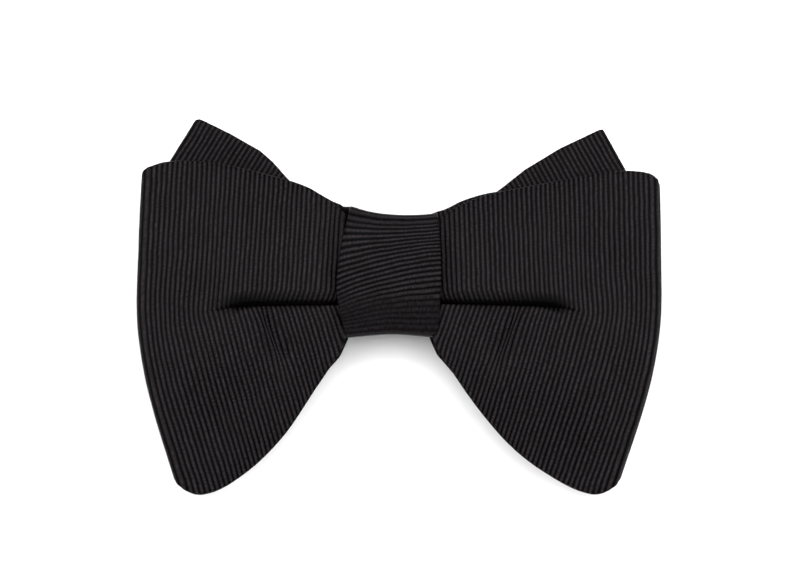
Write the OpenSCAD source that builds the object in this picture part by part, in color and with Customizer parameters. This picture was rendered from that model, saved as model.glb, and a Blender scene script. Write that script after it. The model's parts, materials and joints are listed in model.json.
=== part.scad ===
// Ready-tied butterfly bow tie in ribbed silk, lying on its back with its neck strap folded
// away behind it. +Z points out of the front of the bow, +Y towards the wearer's chin.
// The knot sits a little off the origin, so that the whole object is centred on it.

/* [Front bow] */
// Knot centre to the outer fold of the left wing
left_span = 60; // [54:0.5:75]
// Knot centre to the outer fold of the right wing
right_span = 65.5; // [54:0.5:79]
// Knot centre up to the top edge of the left wing
left_rise = 27; // [22:0.5:33]
// Knot centre up to the top edge of the right wing
right_rise = 25; // [22:0.5:33]
// Knot centre down to the lowest tip of both wings
drop = 53; // [40:0.5:64]
// Height of the puffed front of a wing above the front of its waist
puff = 4.5; // [3:0.5:8]
// Height of the round fold at the outer end of a wing
fold_h = 5; // [4:0.5:6.5]

/* [Tails] */
// Knot centre to the outer edge of the left tail
left_tail_span = 56; // [46:0.5:59]
// Knot centre to the outer edge of the right tail
right_tail_span = 63; // [46:0.5:64]
// Knot centre up to the corner of the left tail
left_tail_rise = 37; // [30:0.5:45]
// Knot centre up to the corner of the right tail
right_tail_rise = 34.5; // [30:0.5:45]
// Knot centre down to the hidden lower edge of the tails
tail_drop = 24; // [18:0.5:29]

/* [Blades] */
// Thickness of one layer of silk
silk_t = 0.4; // [0.3:0.05:0.6]
// Thickness of the canvas interlining
canvas_t = 0.6; // [0.4:0.05:0.8]
// Width of the turned seam, which the canvas stops short of
seam_w = 1.2; // [0.8:0.1:2]

/* [Knot] */
// Width of the knot, across the bow
knot_w = 24; // [20:0.5:30]
// Height of the knot
knot_h = 29.5; // [25:0.5:36]
// Free height between the front and the back of the front bow inside the knot
gather = 3.2; // [2:0.2:5]
// Bulge of the knot's front above its shoulders
knot_puff = 2; // [1:0.25:3.5]
// Length by which the ends of the wrap lap at the back of the knot
lap = 6; // [4:0.5:9]
// Stitches in the seam at the back of the knot
knot_stitch_count = 7; // [5:1:11]
// Turns of the thread that gathers the waist
thread_turns = 5; // [3:1:8]

/* [Neck strap] */
// Width of the strap
strap_w = 18; // [14:0.5:20]
// Thickness of the strap
strap_t = 0.9; // [0.7:0.05:1.1]
// Distance from the outer fold of a wing to the strap's fold behind it
strap_inset = 5; // [4:0.5:8]
// Length of strap turned back and tacked at the hook
turn_back = 8; // [6:0.5:11]
// Length of the blank size label
label_l = 22; // [16:1:28]
// Width of the blank size label
label_w = 11; // [8:0.5:13]

/* [Hook, eye and adjuster] */
// Diameter of the wire of the eye and of the bar of the hook
wire_d = 1; // [0.8:0.1:1.2]
// Length of the hook, from its bar to its nose
hook_l = 19; // [15:0.5:21]
// Width of the hook's tongue
tongue_w = 7; // [5:0.5:10]
// Length of the eye, from bar to bar
eye_l = 9; // [8:0.5:10]
// Length of the slide adjuster along the strap
adjuster_l = 11; // [9:0.5:14]
// Thickness of the adjuster's metal
metal_t = 0.8; // [0.6:0.1:1]
// Knot centre to the middle of the adjuster
adjuster_x = 45; // [40:0.5:47]
// Knot centre to the bar of the eye
eye_x = 14; // [12:0.5:18]
// Width of the rails of the adjuster
rail_w = 1.4; // [1:0.1:2]
// Length of the crimp that holds the strap's end in the adjuster
crimp_l = 5; // [3:0.5:6]

/* [Clearances] */
// Gap between layers of the folded strap, and around the blades
gap = 0.3; // [0.2:0.05:0.4]
// Gap between a bar or a thread and the cloth around it
slack = 0.1; // [0.05:0.05:0.15]
// Gap between canvas and silk
lay = 0.05; // [0.04:0.01:0.08]

/* [Hidden] */

SILK = [0.07, 0.068, 0.07];
CANVAS = [0.75, 0.7, 0.6];
THREAD = [0.05, 0.05, 0.055];
METAL = [0.62, 0.62, 0.64];
LABEL = [0.12, 0.12, 0.125];

// Outline of a wing: share of the span outwards, share of the rise (up) or drop (down).
WING_TOP = [[0.26, 0.7], [0.41, 0.81], [0.6, 0.905], [0.79, 0.98]];
WING_FOLD = [
    [0.9, 1], [0.965, 0.95], [0.991, 0.83], [1, 0.1], [0.992, -0.22], [0.95, -0.52],
    [0.885, -0.77], [0.85, -0.89], [0.815, -0.97], [0.76, -1],
];
WING_BOTTOM = [[0.68, -0.985], [0.575, -0.91], [0.42, -0.74], [0.275, -0.515]];
// Outline of a tail, in shares of its own span, rise and drop.
TAIL = [
    [0.27, 0.48], [0.456, 0.645], [0.56, 0.79], [0.68, 0.9], [0.79, 1], [0.845, 0.95],
    [0.92, 0.75], [0.98, 0.47], [1, 0.14], [0.965, -0.35], [0.9, -0.87], [0.84, -1],
    [0.54, -0.83], [0.27, -0.56],
];
// Steps between two points of a spline.
STEPS = 4;
// Steps in a half circle of cloth.
ARC_STEPS = 10;

blade_t = 2 * silk_t + canvas_t + 2 * lay;
// From one layer of the knot's lap to the other.
lap_z = blade_t + lay;
// Thickness of the gathering and tacking thread, and of the thread on the label.
thread_d = 0.5;
label_thread_d = 0.2;
// Between the two ends of the front bow, behind its waist.
end_gap = 1.2;
// Thickness of the crimp's sheet and of the label.
crimp_t = 0.3;
label_t = 0.3;
// How far past the object an outline or a path runs where only a cut's other sides count.
past = 4;

// The object's box is centred on the origin, so the knot is off it by these amounts.
knot_x = (left_span - right_span) / 2;
knot_y = (drop - max(left_tail_rise, right_tail_rise)) / 2;

// Middle heights of the strap's layers, from the surface up.
return_z = crimp_t + lay + strap_t / 2;
bar_pitch = strap_t + wire_d + 2 * slack;
right_4_z = return_z + bar_pitch;
right_3_z = right_4_z + strap_t + 2 * gap + metal_t;
// The centre of the strap is high enough for the knot's back to clear the strap round the eye.
knot_clear_z = right_4_z + strap_t + 2 * gap + slack + thread_d + lap_z + blade_t;
strap_z = max(right_3_z + 2 * (strap_t + gap), knot_clear_z);
right_2_z = (right_3_z + strap_z) / 2;
left_4_z = strap_t / 2;
left_3_z = left_4_z + 2 * strap_t + wire_d + 2 * slack + gap;
left_2_z = (left_3_z + strap_z) / 2;
eye_z = (return_z + right_4_z) / 2;
hook_z = strap_t + slack + wire_d / 2;

// Middle heights of the blades inside the knot, from the strap up.
tail_left_z = strap_z + strap_t / 2 + gap + thread_d + 2 * slack + blade_t / 2;
tail_right_z = tail_left_z + blade_t + gap;
back_z = tail_right_z + blade_t + gap;
front_z = back_z + blade_t + gather;
knot_back_z = strap_z - strap_t / 2 - gap - blade_t / 2;
knot_front_z = front_z + blade_t + gap + thread_d + 2 * slack;
crown_z = front_z + puff;
fold_z = (back_z + front_z) / 2 + 1;

// Where the strap folds, outwards from the knot, and where the hook's bar is.
left_fold_x = left_span - strap_inset;
right_fold_x = right_span - strap_inset;
inner_fold_x = knot_w / 2 + 4;
hook_x = left_fold_x - hook_l - turn_back;

// Where the strap through the adjuster gives way to the stretch that lengthens as the
// adjuster moves, and the length of strap that stays with the eye.
slack_x = adjuster_x - adjuster_l / 2 - 1;
loop_l = 2;
crimp_end_x = adjuster_x + adjuster_l / 2 - 2 * metal_t - slack;

function reverse(p) = [for (i = [len(p) - 1:-1:0]) p[i]];
function unit(v) = v / norm(v);
function left_of(v) = [-v.y, v.x];

// A point at share t of the stretch from b to c of a Catmull-Rom spline.
function between(a, b, c, d, t) =
    b + t * (c - a) / 2 + t * t * (a - 2.5 * b + 2 * c - d / 2)
    + t * t * t * (-a + 3 * b - 3 * c + d) / 2;

// A smooth path through points, open or closed.
function spline(p) = [
    for (i = [0:len(p) - 2], k = [0:STEPS - 1])
        between(p[max(i - 1, 0)], p[i], p[i + 1], p[min(i + 2, len(p) - 1)], k / STEPS),
    p[len(p) - 1],
];
function closed_spline(p) = [
    for (i = [0:len(p) - 1], k = [0:STEPS - 1])
        between(p[(i + len(p) - 1) % len(p)], p[i], p[(i + 1) % len(p)],
                p[(i + 2) % len(p)], k / STEPS),
];

// An open path moved to its left by d, and a closed outline moved inwards by d, which is
// one distance or a list of one for each point.
function shifted(p, d) = [
    for (i = [0:len(p) - 1])
        p[i] + d * left_of(unit(p[min(i + 1, len(p) - 1)] - p[max(i - 1, 0)])),
];
function inset(p, d) = [
    for (i = [0:len(p) - 1])
        p[i] + (is_list(d) ? d[i] : d)
            * left_of(unit(p[(i + 1) % len(p)] - p[(i + len(p) - 1) % len(p)])),
];

// Outline of a strip of thickness t that follows a path.
function ribbon(path, t) = concat(shifted(path, t / 2), reverse(shifted(path, -t / 2)));

// Half a turn round c, from the angle a through half a circle, counter-clockwise if way is 1.
function half_turn(c, r, a, way) = [
    for (k = [0:ARC_STEPS]) c + r * [cos(a + way * 180 * k / ARC_STEPS),
                                     sin(a + way * 180 * k / ARC_STEPS)],
];

function wing(side, span, rise, down, shape) = [
    for (q = shape) [side * q.x * span, q.y > 0 ? q.y * rise : q.y * down],
];

// Radius of the knot's wrap at its corners, to the middle of the cloth.
knot_r = 2.5;
// Half of the height of the gathered cloth inside the knot, and half of its width.
waist_h = knot_h / 2 - knot_r - blade_t / 2 - gap;
waist_w = knot_w / 2 + gap;

// One wing of the front bow, from the top of the waist round to its bottom.
function wing_points(side, span, rise) = concat(
    [[side * waist_w, waist_h]],
    wing(side, span, rise, drop, concat(WING_TOP, WING_FOLD, WING_BOTTOM)),
    [[side * waist_w, -waist_h]]
);
function repeated(d, p) = [for (q = p) d];
function margins(edge, fold) = concat(
    [edge], repeated(edge, WING_TOP), repeated(fold, WING_FOLD), repeated(edge, WING_BOTTOM),
    [edge]
);

// Outline of the front bow, moved inwards along its long edges and at its outer folds.
function front_outline(edge, fold) = closed_spline(inset(
    concat(wing_points(-1, left_span, left_rise),
           reverse(wing_points(1, right_span, right_rise))),
    concat(margins(edge, fold), reverse(margins(edge, fold)))
));

// Outline of the room inside the front bow, at distance d from its outer folds. It is open
// along the long edges.
function fold_side(side, span, rise, d) = let (
    p = spline(shifted(wing(side, span, rise, drop, WING_FOLD), -side * d))
) concat([[p[0].x, rise + 2 * past]], p, [[p[len(p) - 1].x, -drop - 2 * past]]);
function room_outline(d) = concat(fold_side(-1, left_span, left_rise, d),
                                  reverse(fold_side(1, right_span, right_rise, d)));

// The front and the back of the bow from below, as paths from left to right. The blades
// behind a wing bow away from it by sway.
sway = 0.4;
function mirrored(p) = reverse([for (q = p) [-q.x, q.y]]);
function front_half(span) = [
    [waist_w, front_z], [span * 0.3, crown_z - 3 * sway], [span * 0.46, crown_z],
    [span * 0.8, fold_z + fold_h / 2 + 2 * sway],
    [span * 0.95, fold_z + fold_h / 2 - blade_t / 2],
    [span + past, fold_z + fold_h / 2 - 1.5 * blade_t],
];
function back_half(span) = [
    [waist_w, back_z], [span * 0.5, back_z + sway],
    [span * 0.9, fold_z - fold_h / 2 + blade_t / 2],
    [span + past, fold_z - fold_h / 2 + 1.2 * blade_t],
];
front_line = spline(concat(mirrored(front_half(left_span)), [[0, front_z]],
                           front_half(right_span)));
back_line = spline(concat(mirrored(back_half(left_span)), [[0, back_z]],
                          back_half(right_span)));

// A tail from the front and from the side. Its raw end passes the middle of the knot, and it
// is straight where the thread goes round it.
raw_end = knot_w / 3;
function tail_outline(side, span, rise, d = 0) = let (
    blade = concat([[-side * (raw_end + past), waist_h], [side * waist_w, waist_h]],
                   wing(side, span, rise, tail_drop, TAIL),
                   [[side * waist_w, -waist_h], [-side * (raw_end + past), -waist_h]]),
    p = inset(side < 0 ? blade : reverse(blade), d)
) concat([p[0]], spline([for (i = [1:len(p) - 2]) p[i]]), [p[len(p) - 1]]);
function tail_path(side, span, z, extra = 0) = spline([
    [side * -(raw_end + extra), z], [0, z], [side * knot_w / 2, z],
    [side * span * 0.6, tail_left_z + sway], [side * (span + 1), tail_left_z + 3 * sway],
]);

// The wrap of the knot from its side: round the waist, with its ends lapped at the back.
function knot_path(extra) = let (
    y = knot_h / 2 - blade_t / 2, r = knot_r, top = knot_front_z, under = knot_back_z,
    bend = [for (k = [0:ARC_STEPS / 2]) r * (1 - cos(90 * k / (ARC_STEPS / 2)))],
    rise = [for (k = [0:ARC_STEPS / 2]) r * sin(90 * k / (ARC_STEPS / 2))]
) concat(
    [[-lap / 2 - extra, under], [0, under], [y - r, under]],
    [for (k = [1:len(bend) - 1]) [y - r + rise[k], under + bend[k]]],
    [for (k = [0:len(bend) - 1]) [y - bend[k], top - r + rise[k]]],
    [for (q = [1, 0, -1]) [q * (y - r) / 2, top + knot_puff * (1 - 0.4 * q * q)]],
    [for (k = [0:len(bend) - 1]) [-y + r - rise[k], top - bend[k]]],
    [for (k = [0:len(bend) - 1]) [-y + bend[k], under - lap_z + r - rise[k]]],
    [[lap / 2 - lap, under - lap_z], [lap / 2 + extra, under - lap_z]]
);

// A strip of cloth of width w that follows a path drawn in X and Z.
module strip(path, t, w) {
    rotate([90, 0, 0]) linear_extrude(w, center = true) polygon(ribbon(path, t));
}

// The same for a path drawn in Y and Z, which the knot's wrap and thread follow.
module band(path, t, w) {
    rotate([90, 0, 90]) linear_extrude(w, center = true) polygon(ribbon(path, t));
}

// Cloth that follows a path drawn in X and Z and is cut to an outline in X and Y.
module blade(outline, path, t) {
    intersection() {
        linear_extrude(crown_z + blade_t) polygon(outline);
        strip(path, t, 2 * (drop + left_tail_rise));
    }
}

// The space inside an outline between the bow's front and back, d outside their middles.
module front_block(outline, d) {
    intersection() {
        linear_extrude(crown_z + blade_t) polygon(outline);
        rotate([90, 0, 0]) linear_extrude(2 * (drop + left_rise), center = true)
            polygon(concat(shifted(back_line, -d), reverse(shifted(front_line, d))));
    }
}

// A loop of cloth, 2 * d thick, and the gap between its two ends behind the waist.
module front_loop(edge, d) {
    difference() {
        front_block(front_outline(edge, blade_t / 2 - d), d);
        front_block(room_outline(blade_t / 2 + d), -d);
    }
}
module front_gap(w) {
    translate([-w / 2, -waist_h, back_z - blade_t]) cube([w, 2 * waist_h, 2 * blade_t]);
}

module at_knot() {
    translate([knot_x, knot_y, 0]) children();
}

// Two layers of silk, sewn along their edges, with the room inside them for the canvas.
module front_blade() {
    color(SILK) difference() {
        front_loop(0, blade_t / 2);
        front_loop(seam_w, canvas_t / 2 + lay);
        front_gap(end_gap);
    }
}

module front_interlining() {
    color(CANVAS) difference() {
        front_loop(seam_w + lay, canvas_t / 2);
        front_gap(end_gap + 1);
    }
}

module tail(side, span, rise, z) {
    color(SILK) difference() {
        blade(tail_outline(side, span, rise), tail_path(side, span, z), blade_t);
        blade(tail_outline(side, span, rise, seam_w), tail_path(side, span, z, 1),
              canvas_t + 2 * lay);
    }
}

module tail_interlining(side, span, rise, z) {
    color(CANVAS)
        blade(tail_outline(side, span, rise, seam_w + lay), tail_path(side, span, z, -0.2),
              canvas_t);
}

module knot_wrap() {
    color(SILK) difference() {
        band(knot_path(0), blade_t, knot_w);
        band(knot_path(slack), canvas_t + 2 * lay, knot_w - 2 * seam_w);
    }
}

module knot_interlining() {
    color(CANVAS) band(knot_path(-slack), canvas_t, knot_w - 2 * (seam_w + lay));
}

// Stitches that close the lap at the back of the knot, along its outer end.
module knot_stitches() {
    stitch_l = 2.6;
    slope = 25;
    pitch = (knot_w - 2 * (seam_w + stitch_l / 3)) / (knot_stitch_count - 1);
    stitch_z = knot_back_z - lap_z - blade_t / 2 - thread_d / 2 - slack;
    color(THREAD)
        for (i = [0:knot_stitch_count - 1])
            translate([(i - (knot_stitch_count - 1) / 2) * pitch, 0, stitch_z])
                rotate([90, 0, slope])
                    cylinder(h = stitch_l, d = thread_d, center = true, $fn = 16);
}

// Turns of thread that hold the gathered blades together inside the wrap.
module waist_thread() {
    low = tail_left_z - blade_t / 2 - slack - thread_d / 2;
    high = front_z + blade_t / 2 + slack + thread_d / 2;
    y = waist_h + slack + thread_d / 2;
    r = thread_d;
    turn = concat(
        [for (k = [0:3]) [y - r + r * sin(30 * k), low + r - r * cos(30 * k)]],
        [for (k = [0:3]) [y - r + r * cos(30 * k), high - r + r * sin(30 * k)]],
        [for (k = [0:3]) [-y + r - r * sin(30 * k), high - r + r * cos(30 * k)]],
        [for (k = [0:3]) [-y + r - r * cos(30 * k), low + r - r * sin(30 * k)]]
    );
    color(THREAD)
        for (i = [0:thread_turns - 1])
            translate([(i - (thread_turns - 1) / 2) * (thread_d + slack), 0, 0])
                rotate([90, 0, 90]) linear_extrude(thread_d, center = true) difference() {
                    polygon(inset(turn, -thread_d / 2));
                    polygon(inset(turn, thread_d / 2));
                }
}

// A straight run of strap between two places outwards from the knot.
module run(side, from_x, to_x, z) {
    color(SILK) strip([[side * from_x, z], [side * to_x, z]], strap_t, strap_w);
}

// A fold of the strap between two layers, bulging outwards (way 1) or towards the knot (-1).
module fold(side, x, high, low, way) {
    r = (high - low) / 2;
    block = 4 * (r + strap_t);
    color(SILK) translate([side * x, 0, (high + low) / 2]) rotate([90, 0, 0]) difference() {
        cylinder(h = strap_w, r = r + strap_t / 2, center = true, $fn = 48);
        cylinder(h = 2 * strap_w, r = r - strap_t / 2, center = true, $fn = 48);
        translate([-side * way * block / 2, 0, 0]) cube([block, block, 2 * strap_w], center = true);
    }
}

module strap_centre() {
    color(SILK) strip([[-left_fold_x, strap_z], [right_fold_x, strap_z]], strap_t, strap_w);
}

// The last left run goes round the bar of the hook, and its end lies back on the run.
module strap_left_run_4() {
    r = (strap_t + wire_d) / 2 + slack;
    end_z = left_4_z + strap_t + lay;
    color(SILK) strip(concat(
        [[-left_fold_x, left_4_z]],
        half_turn([-hook_x, left_4_z + r], r, -90, 1),
        [[-hook_x - 2.5 * r, end_z], [-hook_x - turn_back, end_z]]
    ), strap_t, strap_w);
}

// Short threads across the turned-back end of the strap, clear of its edges.
strap_edge = 1.5;
module hook_bartack() {
    count = 16;
    stitch_l = 2;
    slope = 8;
    pitch = (strap_w - 2 * strap_edge) / (count - 1);
    z = left_4_z + 1.5 * strap_t + lay + thread_d / 2 + slack / 2;
    color(THREAD)
        for (i = [0:count - 1])
            translate([-hook_x - turn_back + 1.2 * stitch_l, (i - (count - 1) / 2) * pitch, z])
                rotate([0, 90, slope])
                    cylinder(h = stitch_l, d = thread_d, center = true, $fn = 16);
}

// Stamped hook: a round bar in the strap's loop, two arms, a plate and a tongue bent back
// under it to catch the eye. The plate stands above the bar so that the tongue fits below.
module hook() {
    arm_y = strap_w / 2 + gap + wire_d / 2;
    side_y = arm_y + wire_d / 2;
    // The plate starts clear of the strap's loop, keeps its full width for shoulder_l, and
    // narrows to the tongue over taper_l. A hole lightens it.
    plate_x = wire_d / 2 + strap_t + slack + 1.3;
    shoulder_l = 2.2;
    taper_l = 2.8;
    hole_d = 2.4;
    nose_r = (wire_d + metal_t) / 2 + slack / 2;
    nose_x = hook_l - nose_r;
    tongue_l = 6;
    plate_z = 2 * nose_r + metal_t / 2 - hook_z;
    color(METAL) translate([-hook_x, 0, hook_z]) {
        rotate([90, 0, 0]) cylinder(h = 2 * arm_y, d = wire_d, center = true, $fn = 32);
        for (s = [-1, 1])
            translate([-wire_d / 2, s * arm_y - wire_d / 2, -wire_d / 2])
                cube([plate_x + wire_d, wire_d, wire_d / 2 + plate_z + metal_t / 2]);
        difference() {
            translate([0, 0, plate_z - metal_t / 2]) linear_extrude(metal_t) polygon([
                [plate_x, -side_y], [plate_x + shoulder_l, -side_y],
                [plate_x + shoulder_l + taper_l, -tongue_w / 2], [nose_x, -tongue_w / 2],
                [nose_x, tongue_w / 2], [plate_x + shoulder_l + taper_l, tongue_w / 2],
                [plate_x + shoulder_l, side_y], [plate_x, side_y],
            ]);
            translate([plate_x + shoulder_l + taper_l - 1, 0, plate_z])
                cylinder(h = 2 * metal_t, d = hole_d, center = true, $fn = 32);
        }
        translate([0, 0, plate_z])
            strip(concat([[nose_x - metal_t / 2, 0]],
                         half_turn([nose_x, -nose_r], nose_r, 90, -1),
                         [[nose_x - tongue_l, -2 * nose_r]]), metal_t, tongue_w);
    }
}

// Blank woven label on the side of the strap that faces the neck.
label_x = (inner_fold_x + left_fold_x) / 2;
module size_label() {
    color(LABEL)
        translate([-label_x - label_l / 2, -label_w / 2, left_2_z + strap_t / 2 + lay])
            cube([label_l, label_w, label_t]);
}

module label_stitches() {
    count = 8;
    stitch_l = 1;
    slope = 20;
    pitch = (label_w - 2 * stitch_l) / (count - 1);
    z = left_2_z + strap_t / 2 + 2 * lay + label_t + label_thread_d / 2;
    color(THREAD)
        for (s = [-1, 1], i = [0:count - 1])
            translate([-label_x + s * (label_l / 2 - stitch_l), (i - (count - 1) / 2) * pitch, z])
                rotate([0, 90, slope])
                    cylinder(h = stitch_l, d = label_thread_d, center = true, $fn = 16);
}

// The strap round the bar of the eye.
module strap_eye_loop() {
    color(SILK) strip(concat(
        [[eye_x + loop_l, right_4_z]],
        half_turn([eye_x, eye_z], (right_4_z - return_z) / 2, 90, 1),
        [[eye_x + loop_l, return_z]]
    ), strap_t, strap_w);
}

// Slide adjuster: rails beside the strap, bars over it, and a crimp under it that holds
// the strap's end.
module slide_adjuster() {
    rail_y = strap_w / 2 + gap;
    top = right_4_z + strap_t / 2 + gap;
    color(METAL) translate([adjuster_x - adjuster_l / 2, 0, 0]) {
        for (s = [0, 1])
            mirror([0, s, 0]) translate([0, rail_y, 0])
                cube([adjuster_l, rail_w, top + metal_t]);
        for (x = [0, adjuster_l - rail_w])
            translate([x, -rail_y - rail_w / 2, top])
                cube([rail_w, 2 * rail_y + rail_w, metal_t]);
        translate([adjuster_l - metal_t - crimp_l, 0, 0]) {
            for (z = [0, return_z + strap_t / 2 + lay])
                translate([0, -rail_y - rail_w / 2, z])
                    cube([crimp_l, 2 * rail_y + rail_w, crimp_t]);
            translate([crimp_l - metal_t, -rail_y - rail_w / 2, 0])
                cube([metal_t, 2 * rail_y + rail_w, return_z + strap_t / 2 + lay + crimp_t]);
        }
    }
}

// Wire eye: the strap goes round one long side, and the hook catches the other.
module eye() {
    y = strap_w / 2 + gap + wire_d / 2;
    color(METAL) translate([eye_x, 0, eye_z]) {
        for (x = [0, -eye_l])
            translate([x, 0, 0]) rotate([90, 0, 0])
                cylinder(h = 2 * y, d = wire_d, center = true, $fn = 32);
        for (s = [-1, 1])
            translate([-eye_l, s * y, 0]) rotate([0, 90, 0])
                cylinder(h = eye_l, d = wire_d, $fn = 32);
        for (x = [0, -eye_l], s = [-1, 1])
            translate([x, s * y, 0]) sphere(d = wire_d, $fn = 32);
    }
}

at_knot() front_blade();
at_knot() front_interlining();
at_knot() tail(-1, left_tail_span, left_tail_rise, tail_left_z);  // tail_left
at_knot() tail_interlining(-1, left_tail_span, left_tail_rise, tail_left_z);  // tail_left_interlining
at_knot() tail(1, right_tail_span, right_tail_rise, tail_right_z);  // tail_right
at_knot() tail_interlining(1, right_tail_span, right_tail_rise, tail_right_z);  // tail_right_interlining
at_knot() knot_wrap();
at_knot() knot_interlining();
at_knot() knot_stitches();
at_knot() waist_thread();
at_knot() strap_centre();
at_knot() fold(-1, left_fold_x, strap_z, left_2_z, 1);  // strap_left_fold_1
at_knot() run(-1, inner_fold_x, left_fold_x, left_2_z);  // strap_left_run_2
at_knot() fold(-1, inner_fold_x, left_2_z, left_3_z, -1);  // strap_left_fold_2
at_knot() run(-1, inner_fold_x, left_fold_x, left_3_z);  // strap_left_run_3
at_knot() fold(-1, left_fold_x, left_3_z, left_4_z, 1);  // strap_left_fold_3
at_knot() strap_left_run_4();
at_knot() hook_bartack();
at_knot() hook();
at_knot() size_label();
at_knot() label_stitches();
at_knot() fold(1, right_fold_x, strap_z, right_2_z, 1);  // strap_right_fold_1
at_knot() run(1, inner_fold_x, right_fold_x, right_2_z);  // strap_right_run_2
at_knot() fold(1, inner_fold_x, right_2_z, right_3_z, -1);  // strap_right_fold_2
at_knot() run(1, inner_fold_x, right_fold_x, right_3_z);  // strap_right_run_3
at_knot() fold(1, right_fold_x, right_3_z, right_4_z, 1);  // strap_right_fold_3
at_knot() run(1, slack_x, right_fold_x, right_4_z);  // strap_right_run_4
at_knot() run(1, eye_x + loop_l, slack_x, right_4_z);  // strap_right_slack
at_knot() strap_eye_loop();
at_knot() run(1, eye_x + loop_l, crimp_end_x, return_z);  // strap_return
at_knot() slide_adjuster();
at_knot() eye();
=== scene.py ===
"""Ready-tied butterfly bow tie in ribbed black silk, with its neck strap folded away behind it."""

import json
import math

import bpy
import numpy as np
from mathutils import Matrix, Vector


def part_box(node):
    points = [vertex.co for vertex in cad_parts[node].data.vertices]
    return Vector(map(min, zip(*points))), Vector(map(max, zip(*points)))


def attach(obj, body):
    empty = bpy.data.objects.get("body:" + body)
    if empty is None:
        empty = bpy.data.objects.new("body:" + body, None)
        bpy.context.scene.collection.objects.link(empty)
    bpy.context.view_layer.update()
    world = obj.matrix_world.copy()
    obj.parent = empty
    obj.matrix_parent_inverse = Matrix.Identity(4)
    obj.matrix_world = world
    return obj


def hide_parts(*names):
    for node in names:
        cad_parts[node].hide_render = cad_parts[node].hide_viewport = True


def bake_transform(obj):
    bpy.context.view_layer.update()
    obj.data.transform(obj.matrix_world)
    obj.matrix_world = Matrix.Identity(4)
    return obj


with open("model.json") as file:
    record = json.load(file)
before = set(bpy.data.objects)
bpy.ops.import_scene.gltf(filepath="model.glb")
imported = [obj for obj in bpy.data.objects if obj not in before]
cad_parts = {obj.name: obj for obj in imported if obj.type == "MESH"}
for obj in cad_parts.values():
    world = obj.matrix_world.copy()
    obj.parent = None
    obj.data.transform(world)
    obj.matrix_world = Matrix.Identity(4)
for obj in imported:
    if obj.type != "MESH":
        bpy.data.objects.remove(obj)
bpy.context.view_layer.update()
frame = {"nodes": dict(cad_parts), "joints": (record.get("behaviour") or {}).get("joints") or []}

MM = 0.001
# The cloth maps hold decimetres.
MM_PER_DM = 100
DM_PER_M = 10
# Lengths below are in millimetres, and places are from the middle of the knot, on the surface
# that the bow tie lies on. +Y is towards the chin.
KNOT = sum(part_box("knot_wrap"), Vector()) / 2
ORIGIN = np.array((KNOT.x, KNOT.y, 0.0))

# The silk: cross ribs of thick weft, each covered by much finer warp threads.
RIB_PITCH = 1.15
RIB_HEIGHT = 0.26
RIB_WAVER = 0.09
BLADE_HALF = 0.5
STRAP_HALF = 0.33
STRAP_RIB = 0.1
CANVAS_HALF = 0.17


def middle(node, axis):
    """Middle of a CAD node along an axis, in mm."""
    low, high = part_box(node)
    return (low[axis] + high[axis]) / 2 / MM


def height(node):
    """Highest point of a CAD node above the surface, in mm."""
    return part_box(node)[1].z / MM


# ---- Camera ----

VIEW_WIDTH = 192
VIEW_HEIGHT_OVER_TABLE = 15
CAMERA_DISTANCE = 1100
VIEW_CENTRE = (0.0, 5.1)


def make_camera():
    """A long lens that looks straight down at the tie."""
    data = bpy.data.cameras.new("camera")
    data.sensor_width = 36
    data.lens = data.sensor_width * CAMERA_DISTANCE / VIEW_WIDTH
    data.clip_start = 0.05
    data.clip_end = 20
    camera = bpy.data.objects.new("camera", data)
    x, y = VIEW_CENTRE
    camera.location = Vector((x, y, VIEW_HEIGHT_OVER_TABLE + CAMERA_DISTANCE)) * MM
    bpy.context.scene.collection.objects.link(camera)
    bpy.context.scene.camera = camera


# ---- Materials ----


def linear(hex_colour):
    """An sRGB hex colour as linear RGBA."""
    srgb = [int(hex_colour[i : i + 2], 16) / 255 for i in (1, 3, 5)]
    return [c / 12.92 if c <= 0.04045 else ((c + 0.055) / 1.055) ** 2.4 for c in srgb] + [1.0]


def add(tree, kind, settings=(), values=(), links=()):
    """Adds a node with its settings, the values of its sockets and what is linked to them."""
    node = tree.nodes.new(kind)
    for name, value in dict(settings).items():
        setattr(node, name, value)
    for socket, value in dict(values).items():
        node.inputs[socket].default_value = value
    for socket, source in dict(links).items():
        tree.links.new(source, node.inputs[socket])
    return node


def new_material(name):
    """An empty material and its node tree, with an output."""
    material = bpy.data.materials.new(name)
    material.use_nodes = True
    tree = material.node_tree
    tree.nodes.clear()
    return material, tree


def cloth_place(tree, across, along):
    """The cloth's own coordinates, counted in threads or patches of the given sizes in mm.
    The map called cloth holds decimetres along the strip and across it."""
    uv = add(tree, "ShaderNodeUVMap", {"uv_map": "cloth"})
    scale = (MM_PER_DM / along, MM_PER_DM / across, 1)
    return add(
        tree, "ShaderNodeVectorMath", {"operation": "MULTIPLY"}, {1: scale}, {0: uv.outputs["UV"]}
    ).outputs["Vector"]


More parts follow.
